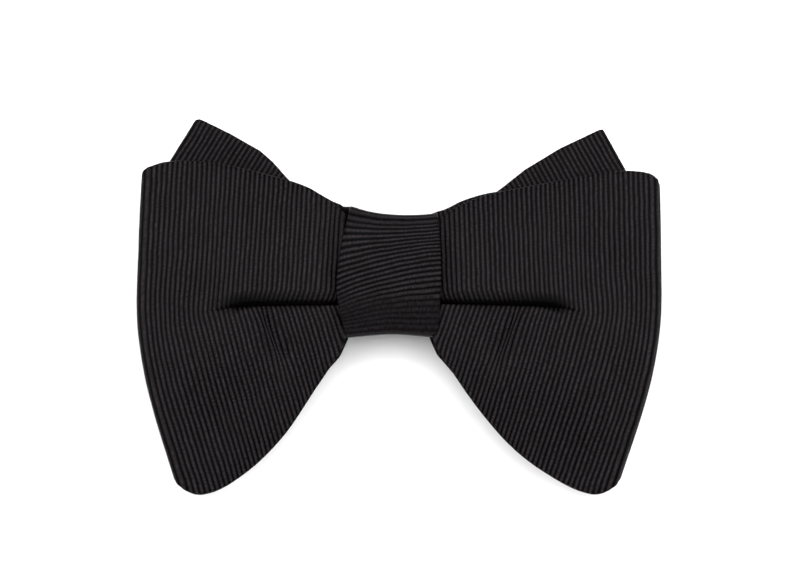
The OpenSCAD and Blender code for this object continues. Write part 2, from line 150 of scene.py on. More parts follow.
def ribbed_silk():
    """Black silk faille, woven with thick weft ribs under fine warp. A thin painted highlight lies
    on each rib's crest, broken into grains by the warp, and the valleys are painted black as
    shade."""
    material, tree = new_material("ribbed_silk")
    rib = add(tree, "ShaderNodeAttribute", {"attribute_name": "rib"}).outputs["Fac"]
    # Warp threads lie about 0.12 mm apart, which is too fine to show. They are drawn in
    # bundles 0.42 mm wide that are as long as a rib is round.
    grains = add(
        tree,
        "ShaderNodeTexNoise",
        values={"Scale": 1.0, "Detail": 2.0, "Roughness": 0.6},
        links={"Vector": cloth_place(tree, 0.42, 1.0)},
    ).outputs["Fac"]
    # Each thick rib takes the dye and the light a little differently along its length.
    patches = add(
        tree,
        "ShaderNodeTexNoise",
        values={"Scale": 1.0, "Detail": 2.0},
        links={"Vector": cloth_place(tree, 6, 1.3)},
    ).outputs["Fac"]
    # Painted light: a highlight painted on each rib's crest, broken into painted glints by the
    # warp's grains, over painted black shade in the valleys.
    crest = add(
        tree, "ShaderNodeMath", {"operation": "POWER"}, {1: 2.6}, {0: rib}
    ).outputs["Value"]
    glints = add(
        tree,
        "ShaderNodeMapRange",
        values={"From Min": 0.35, "From Max": 0.68, "To Min": 0.35, "To Max": 1.0},
        links={"Value": grains},
    ).outputs["Result"]
    painted_highlight = add(
        tree, "ShaderNodeMath", {"operation": "MULTIPLY"}, links={0: crest, 1: glints}
    ).outputs["Value"]
    painted_rib_light = add(
        tree,
        "ShaderNodeMix",
        {"data_type": "RGBA"},
        {6: linear("#000000"), 7: linear("#312d30")},
        {0: painted_highlight},
    ).outputs[2]
    colour = add(
        tree,
        "ShaderNodeMix",
        {"data_type": "RGBA", "blend_type": "MULTIPLY"},
        {0: 0.6},
        {6: painted_rib_light, 7: patches},
    ).outputs[2]
    rough = add(
        tree,
        "ShaderNodeMapRange",
        values={"From Min": 0.3, "From Max": 0.7, "To Min": 0.3, "To Max": 0.5},
        links={"Value": grains},
    ).outputs["Result"]
    bump = add(
        tree,
        "ShaderNodeBump",
        values={"Strength": 0.5, "Distance": 0.06 * MM},
        links={"Height": grains},
    ).outputs["Normal"]
    shader = add(
        tree,
        "ShaderNodeBsdfPrincipled",
        values={"IOR": 1.53, "Specular IOR Level": 0.015},
        links={"Base Color": colour, "Roughness": rough, "Normal": bump},
    )
    add(tree, "ShaderNodeOutputMaterial", links={"Surface": shader.outputs["BSDF"]})
    return material


def canvas():
    """Bias-cut wool and cotton interlining canvas, plain woven: matt, and the colour of oatmeal
    with darker flecks."""
    material, tree = new_material("interlining_canvas")
    weave = add(
        tree,
        "ShaderNodeTexNoise",
        values={"Scale": 1.0, "Detail": 3.0},
        links={"Vector": cloth_place(tree, 0.7, 0.7)},
    ).outputs["Fac"]
    colour = add(
        tree,
        "ShaderNodeMix",
        {"data_type": "RGBA"},
        {6: linear("#8d8270"), 7: linear("#cfc6b2")},
        {0: weave},
    ).outputs[2]
    bump = add(
        tree,
        "ShaderNodeBump",
        values={"Strength": 0.6, "Distance": 0.12 * MM},
        links={"Height": weave},
    ).outputs["Normal"]
    shader = add(
        tree,
        "ShaderNodeBsdfPrincipled",
        values={"IOR": 1.5, "Roughness": 0.9},
        links={"Base Color": colour, "Normal": bump},
    )
    add(tree, "ShaderNodeOutputMaterial", links={"Surface": shader.outputs["BSDF"]})
    return material


def object_place(tree, size):
    """Places in the tie's own frame, counted in patches of a size in mm."""
    place = add(tree, "ShaderNodeTexCoord").outputs["Object"]
    scale = (1 / (size * MM),) * 3
    return add(
        tree, "ShaderNodeVectorMath", {"operation": "MULTIPLY"}, {1: scale}, {0: place}
    ).outputs["Vector"]


def sewing_thread():
    """Black polyester sewing thread, spun and twisted: soft, with a faint shine on each ply."""
    material, tree = new_material("sewing_thread")
    plies = add(
        tree,
        "ShaderNodeTexNoise",
        values={"Scale": 1.0, "Detail": 1.0},
        links={"Vector": object_place(tree, 0.3)},
    ).outputs["Fac"]
    colour = add(
        tree,
        "ShaderNodeMix",
        {"data_type": "RGBA"},
        {6: linear("#0e0e10"), 7: linear("#2b2a2d")},
        {0: plies},
    ).outputs[2]
    bump = add(
        tree,
        "ShaderNodeBump",
        values={"Strength": 0.6, "Distance": 0.08 * MM},
        links={"Height": plies},
    ).outputs["Normal"]
    shader = add(
        tree,
        "ShaderNodeBsdfPrincipled",
        values={"IOR": 1.5, "Roughness": 0.55, "Sheen Weight": 0.1},
        links={"Base Color": colour, "Normal": bump},
    )
    add(tree, "ShaderNodeOutputMaterial", links={"Surface": shader.outputs["BSDF"]})
    return material


def plated_steel():
    """Nickel-plated spring steel, stamped and barrel polished: a warm bright grey with soft
    reflections and faint rubbed marks."""
    material, tree = new_material("nickel_plated_steel")
    # Marks from handling are about 0.02 mm wide, and are drawn 0.3 mm wide to show at all.
    marks = add(
        tree,
        "ShaderNodeTexNoise",
        values={"Scale": 1.0, "Detail": 4.0, "Roughness": 0.7},
        links={"Vector": object_place(tree, 0.9)},
    ).outputs["Fac"]
    rough = add(
        tree,
        "ShaderNodeMapRange",
        values={"From Min": 0.3, "From Max": 0.75, "To Min": 0.13, "To Max": 0.34},
        links={"Value": marks},
    ).outputs["Result"]
    colour = add(
        tree,
        "ShaderNodeMix",
        {"data_type": "RGBA"},
        {6: linear("#c9c4ba"), 7: linear("#a9a49b")},
        {0: marks},
    ).outputs[2]
    bump = add(
        tree,
        "ShaderNodeBump",
        values={"Strength": 0.12, "Distance": 0.02 * MM},
        links={"Height": marks},
    ).outputs["Normal"]
    shader = add(
        tree,
        "ShaderNodeBsdfPrincipled",
        values={"Metallic": 1.0},
        links={"Base Color": colour, "Roughness": rough, "Normal": bump},
    )
    add(tree, "ShaderNodeOutputMaterial", links={"Surface": shader.outputs["BSDF"]})
    return material


def woven_label():
    """Damask-woven polyester label with no lettering: smooth, charcoal, and a little shinier
    than the silk, with its fine picks just showing."""
    material, tree = new_material("woven_label")
    # Picks are 0.1 mm apart and are drawn 0.35 mm apart to show.
    picks = add(
        tree,
        "ShaderNodeTexNoise",
        values={"Scale": 1.0, "Detail": 2.0},
        links={"Vector": cloth_place(tree, 2.0, 0.35)},
    ).outputs["Fac"]
    colour = add(
        tree,
        "ShaderNodeMix",
        {"data_type": "RGBA"},
        {6: linear("#1d1d20"), 7: linear("#3a3a3f")},
        {0: picks},
    ).outputs[2]
    bump = add(
        tree,
        "ShaderNodeBump",
        values={"Strength": 0.4, "Distance": 0.05 * MM},
        links={"Height": picks},
    ).outputs["Normal"]
    shader = add(
        tree,
        "ShaderNodeBsdfPrincipled",
        values={"IOR": 1.55, "Roughness": 0.4},
        links={"Base Color": colour, "Normal": bump},
    )
    add(tree, "ShaderNodeOutputMaterial", links={"Surface": shader.outputs["BSDF"]})
    return material


SILK = ribbed_silk()
CANVAS = canvas()
THREAD = sewing_thread()
STEEL = plated_steel()
LABEL = woven_label()


# ---- Cloth ----


def smooth(t):
    """Eases from 0 to 1."""
    t = np.clip(t, 0, 1)
    return t * t * (3 - 2 * t)


def through(points, at):
    """The value at each place in at, on a smooth line through (place, value) points."""
    place, value = np.array(points, float).T
    slope = np.gradient(value, place)
    i = np.clip(np.searchsorted(place, at) - 1, 0, len(place) - 2)
    step = place[i + 1] - place[i]
    t = np.clip((at - place[i]) / step, 0, 1)
    return (
        value[i] * (1 + 2 * t) * (1 - t) ** 2
        + value[i + 1] * t * t * (3 - 2 * t)
        + slope[i] * step * t * (1 - t) ** 2
        - slope[i + 1] * step * t * t * (1 - t)
    )


def waves(x, y, size, seed):
    """Gentle random unevenness between about -1 and 1, with humps of a size in mm."""
    dice = np.random.default_rng(seed)
    total = np.zeros(np.broadcast(x, y).shape)
    count = 7
    for _ in range(count):
        turn = dice.uniform(0, 2 * math.pi)
        pitch = size * dice.uniform(1.4, 3.2)
        phase = dice.uniform(0, 2 * math.pi)
        total += np.sin(2 * math.pi * (x * math.cos(turn) + y * math.sin(turn)) / pitch + phase)
    return total / math.sqrt(count) / 1.5


def rounded(d, r):
    """Half thickness of a turned edge at distance d inside it, where the cloth's is r."""
    return r * np.sqrt(1 - (1 - np.clip(d / r, 0, 1)) ** 2)


def rib_wave(flat):
    """1 on the crest of a rib and 0 in the sharp valley between two. It shapes the ribs and places
    their painted highlights and painted shade. The ribs waver a little.
    """
    along = flat[..., 0] + RIB_WAVER * waves(flat[..., 0], flat[..., 1], size=4, seed=5)
    return np.abs(np.cos(math.pi * along / RIB_PITCH)) ** 0.8


def sheet_mesh(
    name, mid, half, flat, material, rib_height=RIB_HEIGHT, capped=False, flat_and_shaded=0.0, flattened_light=0.0
):
    """Cloth with a front and a back skin that meet along its turned edges.
    mid is a grid of points, [row across][column along the strip]; half is the half thickness
    there, and flat the same points in the cut cloth. The ends are capped, or closed to a line.
    The flattening mask is 1 where the ribs are flattened and their painted highlights give way to
    an even painted shade, and 0 elsewhere. The level after it sets that shade: 0 for the black of
    a valley, and 1 for the light on a crest.
    """
    normal = np.cross(np.gradient(mid, axis=1), np.gradient(mid, axis=0))
    normal /= np.linalg.norm(normal, axis=2, keepdims=True) + 1e-12
    # Where the ribs are flattened they are drawn level, and an even painted shade takes the place
    # of their painted highlights.
    rib = rib_wave(flat) * (1 - flat_and_shaded) + flattened_light * flat_and_shaded
    out = (half + rib_height * rib * half / half.max())[..., None] * normal
    rows, columns = half.shape
    front = np.arange(rows * columns).reshape(rows, columns)
    back = front + rows * columns
    back[0], back[-1] = front[0], front[-1]
    if not capped:
        back[:, 0], back[:, -1] = front[:, 0], front[:, -1]
    points = np.concatenate([(mid + out).reshape(-1, 3), (mid - out).reshape(-1, 3)])
    faces = []
    for grid in (front, back[:, ::-1]):
        corners = (grid[:-1, :-1], grid[:-1, 1:], grid[1:, 1:], grid[1:, :-1])
        faces += np.stack(corners, axis=-1).reshape(-1, 4).tolist()
    if capped:
        for column, way in ((0, 1), (-1, -1)):
            ring = [*front[:, column], *back[-2:0:-1, column]]
            faces.append([int(i) for i in ring[::-way]])
    used = np.unique(np.concatenate(faces))
    renumber = np.zeros(len(points), int)
    renumber[used] = np.arange(len(used))
    faces = [[int(renumber[i]) for i in face] for face in faces]
    mesh = bpy.data.meshes.new(name)
    mesh.from_pydata((ORIGIN + points[used] * MM).tolist(), [], faces)
    corner_points = np.zeros(len(mesh.loops), int)
    mesh.loops.foreach_get("vertex_index", corner_points)
    cloth = np.concatenate([flat.reshape(-1, 2)] * 2)[used] / MM_PER_DM
    mesh.uv_layers.new(name="cloth").data.foreach_set("uv", cloth[corner_points].ravel())
    # The rib attribute holds where the shader paints highlights on the crests and shade in the
    # valleys.
    crest = np.concatenate([rib.ravel()] * 2)[used]
    mesh.attributes.new("rib", "FLOAT", "POINT").data.foreach_set("value", crest)
    mesh.polygons.foreach_set("use_smooth", np.ones(len(mesh.polygons), bool))
    mesh.materials.append(material)
    mesh.update()
    piece = bpy.data.objects.new(name, mesh)
    bpy.context.scene.collection.objects.link(piece)
    return piece


def along_ribs(start, end, steps):
    """Places along a strip, a number of steps to each rib, that end exactly at end."""
    places = np.arange(start, end, RIB_PITCH / steps)
    return np.append(places[: -1 if end - places[-1] < 0.05 else None], end)


def make_canvas(name, node, mid, half, flat, inner):
    """The canvas inside a sheet, over an inner part of the sheet's grid."""
    inside = np.full(half[inner].shape, CANVAS_HALF)
    for rim in (np.s_[0], np.s_[-1], np.s_[:, 0], np.s_[:, -1]):
        inside[rim] = 0
    piece = sheet_mesh(name, mid[inner], inside, flat[inner], CANVAS, 0)
    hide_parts(node)
    return piece


# Rows of points near a turned edge, as distances inside it.
EDGE_ROWS = (0.0, 0.1, 0.3, 0.6)


def rows_between(low, high, stops):
    """Rows of places from a low edge to a high one, close together at both.
    stops is a list of (place, number of rows that lead up to it) between them."""
    rows = [low + d for d in EDGE_ROWS]
    for place, count in [*stops[:-1], (high - EDGE_ROWS[-1], stops[-1][1])]:
        rows += [rows[-1] + (place - rows[-1]) * (k / count) for k in range(1, count + 1)]
        rows[-1] = place + 0 * low
    rows += [high - d for d in EDGE_ROWS[-2::-1]]
    return np.array(rows)


# ---- Front bow ----

# Each wing is described as if it pointed to +X. Its flat outline is the cut of the blade: the
# ribs stand upright there and the outer fold is straight. The pleat runs from the knot to its
# end point. There the cloth above it turns by lean_up and the cloth below it by lean_down.
WINGS = {
    -1: {
        "fold": 59.7,
        "pleat_end": (42.5, -9.6),
        "pleat_angle": 177.3,
        "lean_up": 3.5,
        "lean_down": -15.5,
        "top": [(0, 14.5), (12, 16.8), (21, 21.9), (30.5, 24.2), (42.5, 25.7), (50, 26.0),
                (53, 25.8), (56, 25.3), (58.4, 24.4), (60, 23.8)],
        "bottom": [(0, -16), (12, -25), (22.5, -33.8), (34, -43.4), (45, -49.3), (52, -51.6),
                   (60, -51.4)],
        "corners": (1.1, 4.8),
        "crease": ((30.8, -10.0), (25.8, -21.0)),
        "seed": 3,
    },
    1: {
        "fold": 64.6,
        "pleat_end": (46.5, -9.8),
        "pleat_angle": 176.5,
        "lean_up": 2.0,
        "lean_down": -17.0,
        "top": [(0, 12), (12, 13.8), (17, 16.8), (23, 19.2), (27.5, 20.2), (35, 21.2),
                (47, 22.6), (57, 23.7), (61, 23.5), (65, 22.6)],
        "bottom": [(0, -17), (12, -25.8), (20, -32.3), (28, -38.6), (39.3, -45.7),
                   (49.4, -49.5), (57, -51.3), (65, -51.0)],
        "corners": (1.8, 4.8),
        "crease": ((31.0, -10.0), (26.2, -21.5)),
        "seed": 8,
    },
}
BLADE_THICK = 1.5
BACK_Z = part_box("front_blade")[0].z / MM + BLADE_THICK / 2
FRONT_Z = BACK_Z + 4.7
FOLD_Z = BACK_Z + 3.3
CROWN_Z = height("front_blade") - BLADE_THICK / 2
FOLD_R = 1.7
# How far the outer fold stands out from a straight line, from its bottom to its top, and the
# part of the wing that follows it.
OUTER_EDGE = [(-52, 0.9), (-30, 1.0), (-14, 0.1), (0, -0.5), (14, -0.2), (26, 0.1)]
OUTER_START = 30
OUTER_EASE = 25
WAIST_HALF = 11.2
# Where the blade leaves the knot, along the strip.
WAIST_IN = 7.5
WAIST_OUT = 12.0
# Heights along a wing's front, from the middle of the waist.
FRONT_PROFILE = [(0, FRONT_Z), (WAIST_IN, FRONT_Z + 0.4), (WAIST_OUT, FRONT_Z + 1.5),
                 (18, CROWN_Z - 1.5), (26, CROWN_Z - 1.1), (36, CROWN_Z - 1.4)]
# Where the front starts to fall towards the fold, as a share of the wing, and its height there.
FALL_START = 0.8
FALL_Z = CROWN_Z - 3.0
# How far the long edges sag below the middle of the blade: along the front, at the fold and
# behind. The higher the power, the more of the middle stays level.
SAG_PROFILE = [(0, 0.2), (WAIST_OUT, 1.0), (26, 2.6), (48, 2.4)]
SAG_AT_FOLD = 0.7
SAG_LESS_BEHIND = 0.4
SAG_POWER = 2.2
# Lengths over which the blade eases from one shape into the next.
PLEATED_EASE = 12
INSET_EASE = 12
BACK_SAG_EASE = 15
# How much the blade's length is squeezed, and how much its cloth is pressed, in the waist.
WAIST_SQUEEZE = 0.72
WAIST_THIN = 0.17
# The strip's raw ends stop this far short of the middle of the waist.
RAW_SHORT = 0.6
# The back of a wing is cut this much smaller, so that it stays behind the front.
BACK_INSET = 0.03
# How far a wing's front waves up and down, and the size of its humps.
UNEVEN = 0.55
UNEVEN_SIZE = 13
# Radii of the pleat's lip and of its hidden turn, and how fast they grow from its end.
LIP_R = 1.3
TURN_R = 0.45
LIP_GROWTH = 0.09
TURN_GROWTH = 0.04
# Beyond the pleat's end its rows of points stay this far from its line and from each other.
PLEAT_ROWS_APART = 0.4
PLEAT_ROWS_SPREAD = 0.3
# How far the lip's lift reaches into the cloth above the pleat and below it.
LIFT_ABOVE = 16
LIFT_BELOW = 11
# How far the pleat drags its ribs outwards, and its reach above the pleat and below it.
PLEAT_DRAG = 1.4
DRAG_ABOVE = 2.2
DRAG_BELOW = 5
# How far the pleat's line bows towards the wing's top, over what length, and its reach.
PLEAT_BOW = 1.7
BOW_LENGTH = 35
BOW_REACH = 9
# The dimple that the pleat makes in the panel below it.
CREASE_DEPTH = 1.6
CREASE_HALF_W = 1.9


def turned_back(q, r):
    """Cloth that turns back on itself along a line at q = 0, with radius r: how far it then is
    from the line and how high. Both sides lie at negative distances."""
    r = np.maximum(r, 1e-6)
    flat_part = np.maximum(np.abs(q) - math.pi * r / 2, 0)
    turn = np.clip(q / r, -math.pi / 2, math.pi / 2)
    return r * (np.cos(turn) - 1) - flat_part, -r * np.sin(turn)


def corner_cut(wing, s, r):
    """How much a corner of radius r takes off a long edge near the outer fold."""
    in_corner = np.clip((s - wing["fold"] + r) / r, 0, 1)
    return r * (1 - np.sqrt(1 - in_corner**2))


def wing_rows(wing, s):
    """Rows up the blade at each place s along it, close together at the pleat."""
    high_r, low_r = wing["corners"]
    low = through(wing["bottom"], s) + corner_cut(wing, s, low_r)
    high = through(wing["top"], s) - corner_cut(wing, s, high_r)
    _, end_t = wing["pleat_end"]
    lip, turn, line_a, line_b = pleat(wing, s)
    spread_a = np.maximum(math.pi * lip / 2, PLEAT_ROWS_SPREAD)
    spread_b = np.maximum(math.pi * turn / 2, PLEAT_ROWS_SPREAD)
    turn_t = np.minimum(line_b, end_t - PLEAT_ROWS_APART)
    lip_t = np.maximum(line_a, end_t + PLEAT_ROWS_APART)
    stops = [(turn_t - spread_b, 12), (turn_t + spread_b, 5), (lip_t - spread_a, 2),
             (lip_t + spread_a, 7), (None, 11)]
    near = rows_between(low, high, stops)
    even = rows_between(low, high, [(None, 37)])
    return near, even


def pleat(wing, s):
    """Radii of the pleat's lip and turn at s, and where both cross the blade's flat cut."""
    end_s, end_t = wing["pleat_end"]
    away = np.maximum(end_s - s, 0)
    half_wedge = (wing["lean_up"] - wing["lean_down"]) / 2
    angle_a = math.radians(180 - wing["pleat_angle"] + wing["lean_up"])
    angle_b = angle_a - math.radians(half_wedge)
    lip = LIP_R * np.tanh(LIP_GROWTH * away / LIP_R)
    turn = TURN_R * np.tanh(TURN_GROWTH * away / TURN_R)
    return lip, turn, end_t + away * math.tan(angle_a), end_t + away * math.tan(angle_b)


def lean(wing, angle):
    """How far the cloth has turned, in degrees, in each direction from the pleat's end."""
    up, down = wing["lean_up"], wing["lean_down"]
    outer = down + (up - down) * smooth((angle + 90) / 180)
    inner = up + (down - up) * smooth((angle - 90) / 180)
    return np.where(angle < 90, outer, inner)


def at_angle(degrees, length):
    """X and Y of a point at an angle and a distance."""
    return length * np.cos(np.radians(degrees)), length * np.sin(np.radians(degrees))


def wing_front(wing, s, t):
    """Plan place and lift of the front of a wing from its flat cut, where the pleat flattens its
    ribs under painted shade along its lip, and how far each point is below the pleat."""
    end_s, end_t = wing["pleat_end"]
    away = np.hypot(s - end_s, t - end_t)
    angle = (np.degrees(np.arctan2(t - end_t, s - end_s)) + 90) % 360 - 90
    lip, turn, _, _ = pleat(wing, s)
    line_a = wing["pleat_angle"] - wing["lean_up"]
    wedge = (wing["lean_up"] - wing["lean_down"]) / 2
    line_b = line_a + wedge
    # The cloth above the pleat, down to its lip and in under it.
    along, q_a = at_angle(angle - line_a, away)
    off, lift_a = turned_back(q_a, lip)
    a_x, a_y = at_angle(wing["pleat_angle"], along)
    n_x, n_y = at_angle(wing["pleat_angle"] + 90, off)
    upper = np.stack([a_x + n_x, a_y + n_y], axis=-1)
    # The cloth below it, up to its hidden turn.
    along, q_b = at_angle(angle - line_b, away)
    off, lift_b = turned_back(q_b, turn)
    b_x, b_y = at_angle(wing["pleat_angle"] - wedge, along)
    n_x, n_y = at_angle(wing["pleat_angle"] - wedge + 90, -off)
    lower = np.stack([b_x + n_x, b_y + n_y], axis=-1)
    share = smooth((angle - line_a) / wedge)[..., None]
    folded = upper * (1 - share) + lower * share
    # The pleat drags its ribs outwards, in a short hook above and a longer curve below.
    drag = np.exp(-((np.minimum(q_a, 0) / DRAG_ABOVE) ** 2) - np.maximum(q_b, 0) / DRAG_BELOW)
    drag = drag * PLEAT_DRAG * np.tanh((end_s - s) / 12) ** 2
    # Its line bows a little towards the top of the wing, and dips at its end.
    back = np.clip(end_s - s, 0, BOW_LENGTH)
    bow = PLEAT_BOW * np.tanh(back / 5) * (1 - back / BOW_LENGTH)
    above, below = np.minimum(q_a, 0) / BOW_REACH, np.maximum(q_b, 0) / BOW_REACH
    bow = bow * np.exp(-(above**2) - below**2)
    folded = folded + np.stack([drag, bow], axis=-1)
    # Beyond the pleat's end it only fans out.
    o_x, o_y = at_angle(angle + lean(wing, angle), away)
    plan = np.where((s < end_s)[..., None], folded, np.stack([o_x, o_y], axis=-1))
    share = share[..., 0]
    step = 2 * (lip + turn)
    lift = (2 * turn + lip + lift_a) * (1 - share) + (turn + lift_b) * share - 0.4 * step
    above, below = np.exp(-np.abs(q_a) / LIFT_ABOVE), np.exp(-np.abs(q_b) / LIFT_BELOW)
    fade = np.where(angle < line_a, above, below)
    lift = np.where(s < end_s, lift * np.where((q_a > 0) & (q_b < 0), 1, fade), 0)
    # Painted shade along the pleat's lip: here the ribs are drawn flattened and black, with no
    # painted highlight.
    flat_and_shaded = smooth((q_a + 2.6) / 2.2) * (1 - smooth((q_b - 0.2) / 1.2)) * smooth(back / 10)
    return plan + np.array([end_s, end_t]), lift, flat_and_shaded, q_b


def wing_back(wing, s, t):
    """Plan place of the back of a wing, which is gathered evenly towards the knot."""
    end_s, end_t = wing["pleat_end"]
    away = np.hypot(s - end_s, t - end_t)
    angle = (np.degrees(np.arctan2(t - end_t, s - end_s)) + 90) % 360 - 90
    x, y = at_angle(angle + lean(wing, angle), away)
    return np.stack([x + end_s, y + end_t], axis=-1)


def near_line(x, y, line):
    """Distance from a crease, and the share of the way along it."""
    (ax, ay), (bx, by) = line
    length = math.hypot(bx - ax, by - ay)
    ux, uy = (bx - ax) / length, (by - ay) / length
    along = (x - ax) * ux + (y - ay) * uy
    return np.abs((x - ax) * -uy + (y - ay) * ux), along / length


def wing_sheet(wing):
    """One wing from the middle of the waist, out along the front, round the fold and back."""
    turn_s = wing["fold"] - FOLD_R
    arc = math.pi * FOLD_R
    front_end = math.ceil((turn_s + arc) / RIB_PITCH) * RIB_PITCH
    raw_end = 2 * turn_s + arc - RAW_SHORT
    u = np.concatenate([along_ribs(0, front_end, 6)[:-1], along_ribs(front_end, raw_end, 4)])
    turn = np.clip((u - turn_s) / FOLD_R, 0, math.pi)
    outwards = np.minimum(u, turn_s) + FOLD_R * np.sin(turn)
    s = np.clip(np.where(turn < math.pi, outwards, 2 * turn_s + arc - u), 0, wing["fold"])
    is_back = turn >= math.pi / 2
    near, even = wing_rows(wing, s)
    end_s, _ = wing["pleat_end"]
    pleated = np.where(is_back, 0, 1 - smooth((s - end_s) / PLEATED_EASE))
    t = near * pleated + even * (1 - pleated)
    low, high = t[0], t[-1]
    centre = (low + high) / 2
    share = (t - centre) / (high - low) * 2
    past_fold = u - turn_s - arc
    inset = 1 - np.where(is_back, BACK_INSET, 0) * smooth(past_fold / INSET_EASE)
    t = centre + (t - centre) * inset
    grid_s = np.broadcast_to(s, t.shape)
    plan, lift, flat_and_shaded, q_b = wing_front(wing, grid_s, t)
    flat_and_shaded = np.where(is_back, 0, flat_and_shaded)
    plan = np.where(is_back[:, None], wing_back(wing, grid_s, t), plan)
    x, y = plan[..., 0], plan[..., 1]
    x = x + through(OUTER_EDGE, y) * smooth((x - OUTER_START) / OUTER_EASE)
    # Heights: puffed in front, thin at the fold, nearly flat behind.
    to_fold = [(wing["fold"] * FALL_START, FALL_Z), (turn_s, FOLD_Z + FOLD_R)]
    front_z = through(FRONT_PROFILE + to_fold, s)
    back_z = through(
        [(0, BACK_Z), (WAIST_IN, BACK_Z), (30, BACK_Z + 0.4), (turn_s, FOLD_Z - FOLD_R)], s
    )
    z = np.where(is_back, back_z, front_z)
    z = np.where((turn > 0) & (turn < math.pi), FOLD_Z + FOLD_R * np.cos(turn), z)
    sag = through([*SAG_PROFILE, (turn_s, SAG_AT_FOLD)], s)
    behind = SAG_AT_FOLD - SAG_LESS_BEHIND * smooth(past_fold / BACK_SAG_EASE)
    z = z - np.where(is_back, behind, sag) * np.abs(share) ** SAG_POWER
    free = smooth((x - WAIST_OUT) / 6)
    front_only = np.where(is_back, 0, smooth((turn_s - s) / 8))
    z = z + lift * front_only * (0.3 + 0.7 * free)
    front_only = front_only * free
    z = z + front_only * UNEVEN * waves(x, y, UNEVEN_SIZE, wing["seed"])
    off, along = near_line(x, y, wing["crease"])
    dent = np.exp(-((off / CREASE_HALF_W) ** 2)) * smooth(along * 3 + 0.3)
    dent = dent * smooth((1.4 - along) * 1.6)
    z = z - CREASE_DEPTH * dent * front_only * (q_b > 0)
    # Inside the knot the blade is gathered to the height of the waist.
    gather = smooth((x - WAIST_IN) / (WAIST_OUT - WAIST_IN))
    level = np.linspace(-1, 1, len(t))[:, None]
    waist_z = np.where(is_back, BACK_Z, FRONT_Z)
    x = x * gather + WAIST_SQUEEZE * s * (1 - gather)
    y = y * gather + WAIST_HALF * level * (1 - gather)
    z = z * gather + waist_z * (1 - gather)
    edge = np.minimum(t - t[0], t[-1] - t)
    half = rounded(edge, BLADE_HALF - WAIST_THIN * (1 - smooth((s - 16) / 14)))
    mid = np.stack([x, y, z], axis=-1)
    flat = np.stack([np.broadcast_to(u, t.shape), t], axis=-1)
    return mid, half, flat, flat_and_shaded


def make_front_bow():
    """The front bow: one strip of doubled silk. Its ends meet behind the waist."""
    grids = []
    for side in (-1, 1):
        mid, half, flat, flat_and_shaded = wing_sheet(WINGS[side])
        grid = [mid * (side, 1, 1), half, flat * (side, 1), flat_and_shaded]
        grids.append([part[:, :0:-1] for part in grid] if side < 0 else grid)
    mid, half, flat, flat_and_shaded = (np.concatenate(parts, axis=1) for parts in zip(*grids))
    half[:, 0] = 0
    half[:, -1] = 0
    silk = sheet_mesh("front_bow_silk", mid, half, flat, SILK, flat_and_shaded=flat_and_shaded)
    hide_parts("front_blade")
    inner = np.s_[4:-4, 3:-3:2]
    return silk, make_canvas("front_bow_canvas", "front_interlining", mid, half, flat, inner)


# ---- Tails ----

# A tail's outline from the front, as if it pointed to +X, and the point where its straight end
# starts and finishes. Its ribs lie along that end.
TAILS = {
    -1: {
        "outline": [(12, 10.5), (18, 15.5), (24.8, 22.8), (28, 26.4), (31, 29), (38, 33),
                    (44.7, 36.3), (45.6, 36.6), (46.5, 36.4), (47.1, 35.5), (52.3, 27.1),
                    (56, 20), (57.2, 10), (55.5, -6), (50, -20), (40, -22), (25, -19),
                    (12, -10.5)],
        "end": ((47.1, 35.5), (52.3, 27.1)),
        "seed": 12,
    },
    1: {
        "outline": [(12, 10.5), (20, 14.5), (27.5, 20.2), (32.8, 24.4), (41.2, 29.5),
                    (50.7, 34.0), (51.6, 34.1), (52.1, 33.3), (57.5, 23.5), (60.4, 16),
                    (61.8, 8), (60, -6), (54, -21), (40, -22), (25, -18), (12, -10.5)],
        "end": ((52.1, 33.3), (57.5, 23.5)),
        "seed": 15,
    },
}
# How far a tail's raw end reaches past the middle of the knot.
TAIL_RAW = 8
# The least width of a tail's rows. Where its outline is narrower, they are drawn together.
TAIL_NARROW = 1.4
# Keeps the first and the last rib just inside the outline.
TAIL_CLEAR = 0.02
TAIL_UNEVEN = 0.35


def crossings(outline, along, across, s):
    """The lowest and the highest place where lines at s across cut an outline."""
    points = np.array(outline)
    a, b = points @ across, points @ along
    low, high = np.full(len(s), np.inf), np.full(len(s), -np.inf)
    for i in range(len(points)):
        a0, a1, b0, b1 = a[i - 1], a[i], b[i - 1], b[i]
        inside = (s >= min(a0, a1)) & (s <= max(a0, a1)) & (abs(a1 - a0) > 1e-9)
        t = b0 + (b1 - b0) * (s - a0) / (a1 - a0 if abs(a1 - a0) > 1e-9 else 1)
        low = np.where(inside, np.minimum(low, t), low)
        high = np.where(inside, np.maximum(high, t), high)
    return low, high


